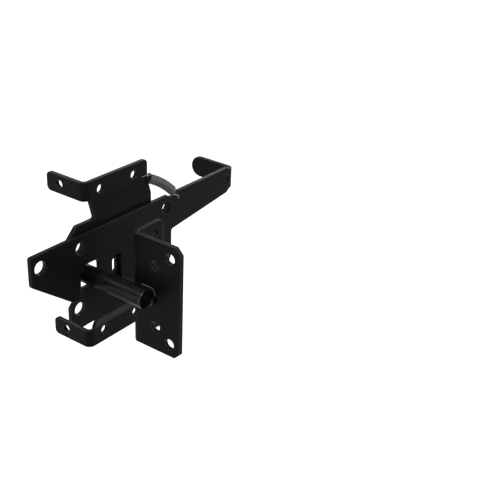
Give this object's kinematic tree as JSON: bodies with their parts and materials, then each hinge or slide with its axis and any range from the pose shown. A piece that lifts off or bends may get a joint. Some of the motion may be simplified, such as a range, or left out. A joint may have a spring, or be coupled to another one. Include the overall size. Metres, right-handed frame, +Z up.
{
  "type": "gate latch",
  "caption": "Post-mounted spring gate latch: a jogged post plate, a pivoting hook lever with a thumb tab, a return spring, and an angle bracket that carries the round striker pin.",
  "frame": {"origin": "centre of the four post screw holes, on the plane of the post's face that the ears lie on", "axes": "+X along the lever from its hook to its thumb tab, +Y into the post, +Z up"},
  "size_m": [0.2055, 0.1099, 0.124],
  "materials": {
    "black_coating": "satin",
    "black_rivet": "satin",
    "spring_wire": "satin"
  },
  "bodies": {
    "post_side": {"post_plate": "black_coating", "pivot_rivet": "black_rivet", "pivot_washer": "black_rivet", "return_spring": "spring_wire"},
    "lever_side": {"lever": "black_coating"},
    "gate_side": {"striker_bracket": "black_coating", "striker_pin": "black_coating", "pin_stud": "black_coating"}
  },
  "joints": [
    {"name": "lever_pivot", "type": "hinge", "parent": "post_side", "child": "lever_side", "pos_m": [0.025, 0, 0], "axis": [0, 1, 0], "range_deg": [0, 20], "stiffness_Nm_per_rad": 2.9, "springref_deg": -11.46, "deforming": ["return_spring"]},
    {"name": "striker_pull", "type": "slide", "parent": "post_side", "child": "gate_side", "axis": [0, -1, 0], "range_m": [0, 0.03]}
  ]
}
